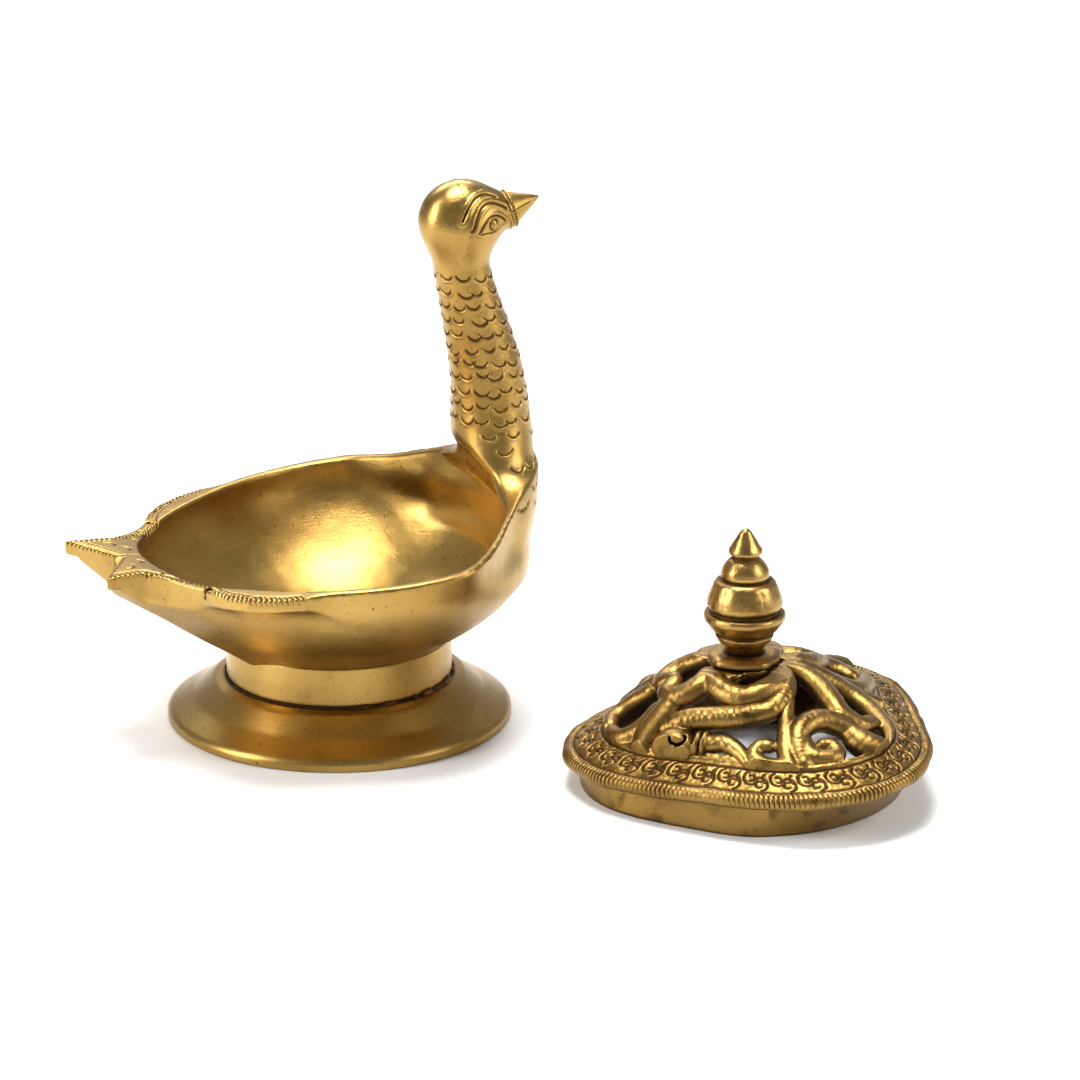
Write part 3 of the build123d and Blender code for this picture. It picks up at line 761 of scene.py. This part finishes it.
# Openwork bars: (line in plan, radii along it, lift above the dome, hatch depth, hatch pitch).
BIRD_FIGURE = (
    (((-31, -16.5), (-25.5, -17.5), (-18, -20.5), (-8.5, -24), (-0.5, -24.5), (4.5, -19), (5.5, -11),
      (4.5, -5)), (2.6, 4.2, 4.4, 4.2, 3.8, 3.3, 2.8, 2.5), 0.6, 0.5, 1.6),
    (((-18.5, -27.5), (-15, -29), (-12, -32), (-9.5, -36.5), (-8, -41)),
     (3.2, 3.2, 2.8, 2.1, 1.2), 0.3, 0, 1),
)
SCROLLS = (
    (((5, -21), (3.5, -28.5), (2.5, -35), (2.5, -43.5)), (2.3, 2.5, 2.9, 3.3), 0.2, 0.2, 1.6),
    (((2.5, -42.5), (-1.5, -42), (-5.5, -39.5), (-7, -36), (-4.5, -34), (-2.5, -35)),
     (2.7, 3.1, 3.1, 2.7, 2.3, 2.5), 0.4, 0.15, 1.6),
    (((3.5, -8), (3.5, -13.5), (-0.5, -18), (-6.5, -19.5), (-12, -16), (-15, -11), (-14.5, -7.5),
      (-11, -7.5), (-9.5, -10)), (2.6, 3.6, 4.1, 4.3, 4.3, 3.9, 3.2, 2.6, 2.7), 0.9, 0, 1),
    (((-16, -6), (-19.5, -9.5), (-24, -10), (-27.5, -7.5), (-28.5, -4), (-26, -1.5)),
     (2.9, 3.9, 4.2, 3.9, 3.4, 2.6), 0.7, 0, 1),
    (((-27, -9), (-31, -12), (-35.5, -15), (-39.5, -19.5)), (3.8, 4.2, 4.1, 3.0), 0.4, 0, 1),
    (((-31.5, -8), (-35.5, -10.5), (-40, -10.5), (-44, -7), (-45, -3)),
     (3, 3.3, 3.3, 3.1, 2.9), 0.3, 0.2, 1.6),
    (((7, -43), (6, -37), (7, -32), (11, -28.5), (15.5, -27), (21, -28), (24.5, -31)),
     (2.6, 3.3, 3.8, 4, 4.1, 3.7, 3.0), 0.5, 0.45, 1.7),
    (((7.5, -35.5), (10, -40), (14, -41), (17, -39.5), (16, -36), (13.5, -36)),
     (3, 3.2, 3.2, 2.9, 2.5, 2.2), 0.3, 0.15, 1.5),
    (((22.5, -29), (25.5, -32.5), (29, -34.5), (33.5, -35.5)), (3.4, 4.8, 5, 3.9), 0.2, 0.45, 1.6),
    (((8, -3), (14, -7.5), (18.5, -16.5), (21, -22), (26, -24), (30, -20)),
     (2.9, 3.6, 3.8, 3.5, 3.3, 2.9), 0.6, 0, 1),
    (((9.5, 0), (16.5, -0.5), (23.5, -1.5), (29, -5), (33, -13.5), (36, -25), (36, -31.5)),
     (3.1, 3.5, 3.6, 3.6, 3.3, 3.0, 2.9), 0.5, 0.35, 1.9),
    (((24.5, -1), (29, 0), (36, 0)), (2.9, 2.9, 3.1), 0.3, 0.2, 1.6),
)
BIRD_HEAD = np.array([-28.5, -23.5])
BIRD_HEAD_SIZE = np.array([7.2, 6.6, 5.6])
COLLAR_RINGS = ((-21.9, -26.1), (-19.9, -27))
BAR_FLATNESS = 0.86
# The distance given where nothing is near.
FAR = 3.0


def bar_distance(x, y, z, a, b, ra, rb):
    """Distance to a tapering bar from a to b, a little flatter than it is wide."""
    e = b - a
    t = np.clip(((x - a[0]) * e[0] + (y - a[1]) * e[1] + (z - a[2]) * e[2]) / (e @ e), 0, 1)
    return np.sqrt((x - a[0] - t * e[0]) ** 2 + (y - a[1] - t * e[1]) ** 2
                   + ((z - a[2] - t * e[2]) / BAR_FLATNESS) ** 2) - (ra + t * (rb - ra))


class OpenworkField:
    """Distances on a grid over the lid, joined piece by piece with rounded inner corners."""

    def __init__(self, low, high, step):
        self.low, self.step = np.array(low, float), step
        self.shape = (np.ceil((np.array(high) - low) / step).astype(int) + 1).tolist()
        self.values = np.full(self.shape, FAR, np.float32)

    def window(self, lowest, highest):
        """The part of the grid between two corners: its slices, and its x, y and z."""
        first = np.maximum(((lowest - self.low) / self.step).astype(int), 0)
        last = np.minimum(((highest - self.low) / self.step).astype(int) + 1, self.shape)
        axes = [self.low[c] + np.arange(first[c], last[c]) * self.step for c in range(3)]
        part = tuple(slice(a, b) for a, b in zip(first, last))
        return part, np.meshgrid(*axes, indexing="ij")

    def everywhere(self):
        """The whole grid's x, y and z, each along its own axis."""
        axes = [self.low[c] + np.arange(self.shape[c]) * self.step for c in range(3)]
        return np.meshgrid(*axes, indexing="ij", sparse=True)

    def blend(self, centre, reach, distance, k, cut=False):
        """Joins or cuts a form in the cube round its centre."""
        part, (x, y, z) = self.window(np.array(centre) - reach, np.array(centre) + reach)
        d = distance(x, y, z)
        old = self.values[part]
        self.values[part] = soft_max(old, -d, k) if cut else soft_min(old, d, k)

    def bar(self, line, radii, lift, hatch, pitch):
        """A round bar along a line that lies on the dome, with hatching across it."""
        plan = np.array(line, float)
        rows = smooth_path(np.c_[plan, radii], 0.55)
        height = dome_height(rows[:, 0], rows[:, 1]) + lift
        path = np.c_[rows[:, 0], rows[:, 1], height - 1.0]
        run = np.r_[0, np.cumsum(np.linalg.norm(np.diff(path, axis=0), axis=1))]
        radius = rows[:, 2] - hatch * (0.5 + 0.5 * np.cos(2 * np.pi * run / pitch)) ** 2
        lengths = []
        for a, b, ra, rb in zip(path, path[1:], radius, radius[1:]):
            part, (x, y, z) = self.window(np.minimum(a, b) - ra - 2.2, np.maximum(a, b) + ra + 2.2)
            lengths.append((part, bar_distance(x, y, z, a, b, ra, rb)))
        low = np.min([[s.start for s in part] for part, _ in lengths], axis=0)
        high = np.max([[s.stop for s in part] for part, _ in lengths], axis=0)
        whole = np.full(high - low, FAR, np.float32)
        for part, values in lengths:
            inner = tuple(slice(s.start - first, s.stop - first) for s, first in zip(part, low))
            whole[inner] = np.minimum(whole[inner], values)
        part = tuple(slice(a, b) for a, b in zip(low, high))
        self.values[part] = soft_min(self.values[part], whole, 0.8)


def cast_piece(field, name):
    """The field's surface as a piece, trimmed to the border and the boss's seat, with cast grain."""
    x, y, z = field.everywhere()
    outside = np.maximum(np.hypot(x, y) - lid_radius(np.arctan2(y, x), 10.2), z - BOSS_SEAT)
    field.values = np.maximum(field.values, outside.astype(np.float32))
    points, quads = quads_from_field(field.values, field.low, field.step)
    away = points - np.array([0, 0, 10.0])
    away /= np.linalg.norm(away, axis=1, keepdims=True)
    points = points + away * (0.07 * waves(points, 3.2, 61))[:, None]
    # Painted shade: the deeper below the dome's top, the darker.
    depth = np.clip((dome_height(points[:, 0], points[:, 1]) + 0.3 - points[:, 2]) / 3.2, 0, 1)
    return new_mesh(name, to_row(points), quads, recess=depth)


def make_scrolls():
    """The cast scrolls and bands on both halves, the ring at the border and the hub under the boss."""
    field = OpenworkField((-56, -54, 5.0), (48, 54, 41.5), 0.45)
    for mirror in (1, -1):
        for line, *shape in SCROLLS:
            field.bar([(x, y * mirror) for x, y in line], *shape)

    def hub(x, y, z):
        return np.maximum(np.hypot(x - BOSS_AHEAD, y) - 10.2, np.abs(z - BOSS_SEAT + 2.6) - 2.6)

    field.blend((BOSS_AHEAD, 0, BOSS_SEAT - 2), 14, hub, 1.2)
    x, y, z = field.everywhere()
    edge = np.abs(np.hypot(x, y) - lid_radius(np.arctan2(y, x), 11.7)) - 1.0
    tall = np.abs(z - dome_height(x, y) + 1.5) - 1.6
    field.values = soft_min(field.values, np.maximum(edge, tall).astype(np.float32), 0.8)
    return cast_piece(field, "jali_scroll_casting")


def make_bird_figure(name, mirror):
    """A bird in the openwork: hatched neck, round head with a crescent eye, ringed collar and beak."""
    middle = -23 * mirror
    field = OpenworkField((-42, middle - 25, 10.0), (14, middle + 25, 41.0), 0.4)
    for line, *shape in BIRD_FIGURE:
        field.bar([(x, y * mirror) for x, y in line], *shape)
    head = np.array([BIRD_HEAD[0], BIRD_HEAD[1] * mirror])
    top = float(dome_height(*head)) - 0.6

    def skull(x, y, z):
        q = np.stack([(x - head[0]), (y - head[1]), (z - top)], -1) / BIRD_HEAD_SIZE
        return (np.linalg.norm(q, axis=-1) - 1) * BIRD_HEAD_SIZE[2]

    field.blend((*head, top), 9, skull, 0.8)
    for px, py in COLLAR_RINGS:
        centre = np.array([px, py * mirror, float(dome_height(px, py)) - 0.8])
        axis = np.array([0.86, -0.5 * mirror, 0])

        def ring(x, y, z, centre=centre, axis=axis):
            q = np.stack([x, y, z], -1) - centre
            along = q @ axis
            return np.hypot(np.linalg.norm(q - along[..., None] * axis, axis=-1) - 3.5, along) - 0.85

        field.blend(centre, 5.5, ring, 0.5)
    brow = top + 4.2

    def eye(x, y, z):
        up = (z - brow) * 0.9 + 1.2 + 0.45 * (y - head[1]) * mirror
        return np.maximum(np.abs(np.hypot(x - head[0], up) - 2.3) - 0.35, up - 0.6)

    field.blend((head[0], head[1] - 3.5 * mirror, brow - 2.0), 4.5, eye, 0.35, cut=True)
    return cast_piece(field, name)


def make_boss():
    """The pad under the finial, its edge a little uneven as cast."""
    corners = [(2.2, BOSS_SEAT - 0.2), (BOSS_RADIUS - 1.5, BOSS_SEAT - 0.2), (BOSS_RADIUS, BOSS_SEAT + 0.8),
               (BOSS_RADIUS - 0.2, BOSS_TOP - 0.7), (BOSS_RADIUS - 1.8, BOSS_TOP - 0.05), (2.2, BOSS_TOP)]

    def wavy(a, height, radius):
        bumps = 0.35 * np.cos(5 * a + 0.7) + 0.2 * np.cos(9 * a)
        return radius + bumps * ramp(radius, 7, 11)

    points = turned_points(fine_profile(corners, 0.7, 0.5), 220, wavy)
    points[:, :2] += BOSS_PLACE
    # Painted shade: darker at the seat on the dome and in a ring round the finial's foot.
    dark = 1 - ramp(points[:, 2], BOSS_SEAT, BOSS_SEAT + 1.4)
    dark = np.maximum(dark, carve(np.hypot(*(points[:, :2] - BOSS_PLACE).T) - 5.6, 1.0, 0.9))
    return new_mesh("lid_boss_pad", points, ring_faces(220, len(points) // 220), recess=dark)


# Finial from its seat up to its point: (radius, height above the boss).
FINIAL = ((0.05, -0.1), (5.0, -0.1), (5.35, 0.5), (6.6, 2.4), (8.5, 4.9), (8.75, 5.9), (8.3, 6.3),
          (8.6, 6.7), (9.6, 7.4), (11.3, 9.6), (12.2, 11.0), (12.25, 12.2), (11.7, 13.0), (10.6, 13.2),
          (10.4, 13.9), (10.9, 14.5), (11.35, 15.4), (11.15, 17.6), (10.2, 20.3), (8.9, 22.7), (7.9, 23.3),
          (6.9, 23.6), (7.25, 24.4), (7.2, 25.8), (6.2, 28.0), (4.9, 29.5), (4.1, 30.1), (4.1, 30.8),
          (4.9, 31.4), (5.15, 32.2), (4.4, 33.8), (2.6, 36.9), (1.0, 39.0), (0.05, 39.4))
# Its grooves: (height, width).
FINIAL_GROOVES = ((0.2, 0.7), (6.3, 0.5), (13.6, 0.7), (23.6, 0.55), (30.4, 0.6))


def make_finial():
    """The turned knob, its widest part filed into faint flats."""
    stretch = (FINIAL_TIP - BOSS_TOP) / FINIAL[-1][1]
    profile = smooth_path([(r, h * stretch, 0) for r, h in FINIAL], 0.28)[:, :2]
    profile[:, 0] = np.maximum(profile[:, 0], 0.02)

    def filed(a, height, radius):
        upper = ramp(height, 14.2, 16) * (1 - ramp(height, 21.0, 23.0))
        flats = 0.20 * (1 - np.abs(np.cos(5.5 * a))) * upper
        return radius - flats * ramp(radius, 2, 6)

    points = turned_points(profile, 240, filed)
    # Painted shade in the grooves.
    dark = np.zeros(len(points))
    for h, width in FINIAL_GROOVES:
        dark = np.maximum(dark, carve(points[:, 2] - h * stretch, width, 1.0))
    grain = 0.05 * waves(points, 5, 71) * ramp(axis_distance(points), 0.5, 2)
    points = points + away_from_axis(points) * grain[:, None]
    points = points + np.array([*BOSS_PLACE, BOSS_TOP])
    return new_mesh("finial_turned", points, ring_faces(240, len(profile)), recess=dark)


# ---- materials
def brass(name, bright, deep, pit_stain_and_shade, rough, brush, grain, dark):
    """Worn brass: drifting from bright to deep, with scratches, grain, pits, stains and painted shade in
    recesses and joints.
    """
    material = bpy.data.materials.new(name)
    material.use_nodes = True
    nodes, links = material.node_tree.nodes, material.node_tree.links
    shader = nodes["Principled BSDF"]
    shader.inputs["Metallic"].default_value = 1.0
    position = nodes.new("ShaderNodeTexCoord").outputs["Object"]

    def noise(scale, detail, stretch=None):
        texture = nodes.new("ShaderNodeTexNoise")
        texture.inputs["Scale"].default_value = scale
        texture.inputs["Detail"].default_value = detail
        source = position
        if stretch is not None:
            mapping = nodes.new("ShaderNodeMapping")
            mapping.inputs["Scale"].default_value = stretch
            links.new(position, mapping.inputs["Vector"])
            source = mapping.outputs["Vector"]
        links.new(source, texture.inputs["Vector"])
        return texture.outputs["Fac"]

    def spread(value, low, high, to_low=0.0, to_high=1.0):
        node = nodes.new("ShaderNodeMapRange")
        node.interpolation_type = "SMOOTHSTEP"
        limits = {"From Min": low, "From Max": high, "To Min": to_low, "To Max": to_high}
        for key, number in limits.items():
            node.inputs[key].default_value = number
        links.new(value, node.inputs["Value"])
        return node.outputs["Result"]

    def feed(socket, value):
        if isinstance(value, bpy.types.NodeSocket):
            links.new(value, socket)
        else:
            socket.default_value = value

    def mix(factor, first, second):
        node = nodes.new("ShaderNodeMix")
        node.data_type = "RGBA"
        links.new(factor, node.inputs[0])
        feed(node.inputs[6], first)
        feed(node.inputs[7], second)
        return node.outputs[2]

    def combine(first, second, operation):
        node = nodes.new("ShaderNodeMath")
        node.operation = operation
        feed(node.inputs[0], first)
        feed(node.inputs[1], second)
        return node.outputs[0]

    # The per-point attribute read here holds painted shade, set piece by piece.
    recess = nodes.new("ShaderNodeAttribute")
    recess.attribute_name = "recess"
    drift = spread(noise(22, 2), 0.25, 0.75)
    bright, deep, pit_stain_and_shade = ((*colour, 1) for colour in (bright, deep, pit_stain_and_shade))
    colour = mix(drift, bright, deep)
    pits = spread(noise(950, 2), 0.66, 0.74)
    colour = mix(combine(pits, 0.75, "MULTIPLY"), colour, pit_stain_and_shade)
    stains = combine(spread(noise(120, 4), 0.55, 0.72), dark, "MULTIPLY")
    colour = mix(stains, colour, pit_stain_and_shade)
    # Painted shade: that attribute darkens the colour almost to the pit colour in grooves, hollows and
    # joints, and makes it rougher.
    shade_amount = spread(recess.outputs["Fac"], 0.05, 0.85)
    colour = mix(combine(shade_amount, 0.92, "MULTIPLY"), colour, pit_stain_and_shade)
    links.new(colour, shader.inputs["Base Color"])
    haze = spread(noise(45, 1), 0.3, 0.7, rough - 0.03, rough + 0.04)
    roughness = combine(combine(shade_amount, 0.25, "MULTIPLY"), haze, "ADD")
    links.new(roughness, shader.inputs["Roughness"])
    scratches = combine(noise(260, 3, (1, 1, 9)), noise(900, 2, (2.5, 2.5, 14)), "ADD")
    grains = combine(noise(1400, 2), grain, "MULTIPLY")
    surface = combine(combine(scratches, brush, "MULTIPLY"), grains, "ADD")
    bump = nodes.new("ShaderNodeBump")
    bump.inputs["Strength"].default_value = 1.0
    bump.inputs["Distance"].default_value = 0.0001
    links.new(surface, bump.inputs["Height"])
    links.new(bump.outputs["Normal"], shader.inputs["Normal"])
    return material


POLISHED = brass("polished_brass", (0.46, 0.295, 0.085), (0.34, 0.20, 0.05), (0.075, 0.033, 0.010),
                 rough=0.29, brush=0.45, grain=0.2, dark=0.16)
ANTIQUE = brass("antique_brass", (0.36, 0.225, 0.065), (0.20, 0.112, 0.028), (0.035, 0.015, 0.005),
                rough=0.34, brush=0.4, grain=0.7, dark=0.62)
FINIAL_METAL = brass("finial_brass", (0.46, 0.29, 0.09), (0.28, 0.16, 0.042), (0.045, 0.02, 0.007),
                     rough=0.28, brush=0.4, grain=0.4, dark=0.45)
BRAZE_METAL = brass("braze", (0.20, 0.11, 0.035), (0.10, 0.05, 0.018), (0.03, 0.013, 0.006),
                    rough=0.45, brush=0.3, grain=0.8, dark=0.6)


# ---- put together
def place(piece, body, slot, material, *nodes):
    """A finished piece: its material, the body it rides and the CAD nodes it stands for; slot is not used.
    """
    piece.data.materials.append(material)
    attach(piece, body)
    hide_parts(*nodes)


place(make_bird(), "bird", "polished_brass", POLISHED, "bowl", "neck_head",
      "tail_lobe_left", "tail_lobe_right", "side_feather_left", "side_feather_right")
for piece, node in ((make_beak(), "beak"), (make_beak_ring(), "beak_ring"),
                    (make_foot(), "base_flange"), (make_collar(), "pedestal_collar")):
    place(piece, "bird", "polished_brass", POLISHED, node)
place(make_braze(), "bird", "braze", BRAZE_METAL, "collar_braze")
for piece, node in ((make_border(), "lid_border"), (make_bead(), "lid_edge_bead"),
                    (make_skirt(), "lid_skirt"), (make_scrolls(), "jali_scrolls"),
                    (make_bird_figure("jali_figure_right", 1), "jali_bird_right"),
                    (make_bird_figure("jali_figure_left", -1), "jali_bird_left"), (make_boss(), "lid_boss")):
    place(piece, "lid", "antique_brass", ANTIQUE, node)
place(make_finial(), "lid", "finial_brass", FINIAL_METAL, "finial")
# The nut inside the lid stays as the CAD has it.
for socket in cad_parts["finial_nut"].material_slots:
    socket.material = FINIAL_METAL


# ---- floor, light and camera
def plain_material(name, colour, rough):
    """One even colour."""
    material = bpy.data.materials.new(name)
    material.use_nodes = True
    shader = material.node_tree.nodes["Principled BSDF"]
    shader.inputs["Base Color"].default_value = (*colour, 1)
    shader.inputs["Roughness"].default_value = rough
    return material


def make_floor():
    """A pale sweep that turns up far behind the lamp, in metres until the mesh is made."""
    side, back, bend, top = 2.6, 1.4, 0.7, 2.4
    rows = [(along, 0.0) for along in np.linspace(-1.6, back, 16)]
    for a in np.linspace(0, math.pi / 2, 24)[1:]:
        rows.append((back + bend * math.sin(a), bend - bend * math.cos(a)))
    rows.append((back + bend, top))
    heading = math.radians(20)
    points = []
    for along, height in rows:
        for across in (-side, side):
            x = across * math.cos(-heading) - along * math.sin(-heading)
            y = across * math.sin(-heading) + along * math.cos(-heading)
            points.append((x / MM, y / MM, height / MM))
    faces = [(2 * i, 2 * i + 1, 2 * i + 3, 2 * i + 2) for i in range(len(rows) - 1)]
    return new_mesh("floor_sweep", points, faces)


floor = make_floor()
floor.data.materials.append(plain_material("pale_floor", (0.93, 0.93, 0.925), 0.6))

VIEW = Vector((0.3240, 0.8901, -0.3206)).normalized()
RIGHT = VIEW.cross(Vector((0, 0, 1))).normalized()
TARGET = Vector((0.05, -0.05, 0.07))


def soft_light(name, right, away, up, size, power):
    """A large area light that faces the lamp, so many metres to the camera's right, away from it and up."""
    light = bpy.data.lights.new(name, "AREA")
    light.shape = "RECTANGLE"
    light.size, light.size_y = size
    light.energy = power
    lamp = bpy.data.objects.new(name, light)
    level = Vector((VIEW.x, VIEW.y, 0)).normalized()
    lamp.location = TARGET + RIGHT * right + level * away + Vector((0, 0, up))
    lamp.rotation_euler = (TARGET - lamp.location).to_track_quat("-Z", "Y").to_euler()
    bpy.context.scene.collection.objects.link(lamp)


soft_light("overhead", -0.05, 0.15, 1.1, (0.5, 0.4), 16)
soft_light("left_window", -1.0, -0.35, 0.5, (0.32, 0.75), 10)
soft_light("right_window", 0.95, -0.25, 0.5, (0.2, 0.6), 6)
soft_light("back_rim", -0.2, 1.0, 0.8, (0.9, 0.25), 6)

world = bpy.data.worlds.new("pale_room")
world.use_nodes = True
background = world.node_tree.nodes["Background"].inputs
background["Color"].default_value = (1, 1, 1, 1)
background["Strength"].default_value = 0.30
bpy.context.scene.world = world
bpy.context.scene.view_settings.view_transform = "Standard"

lens = bpy.data.cameras.new("camera")
lens.lens = 166.67
lens.sensor_width = 36
lens.clip_end = 20
camera = bpy.data.objects.new("camera", lens)
camera.location = (-0.4413, -1.3951, 0.5512)
camera.rotation_euler = VIEW.to_track_quat("-Z", "Y").to_euler()
bpy.context.scene.collection.objects.link(camera)
bpy.context.scene.camera = camera
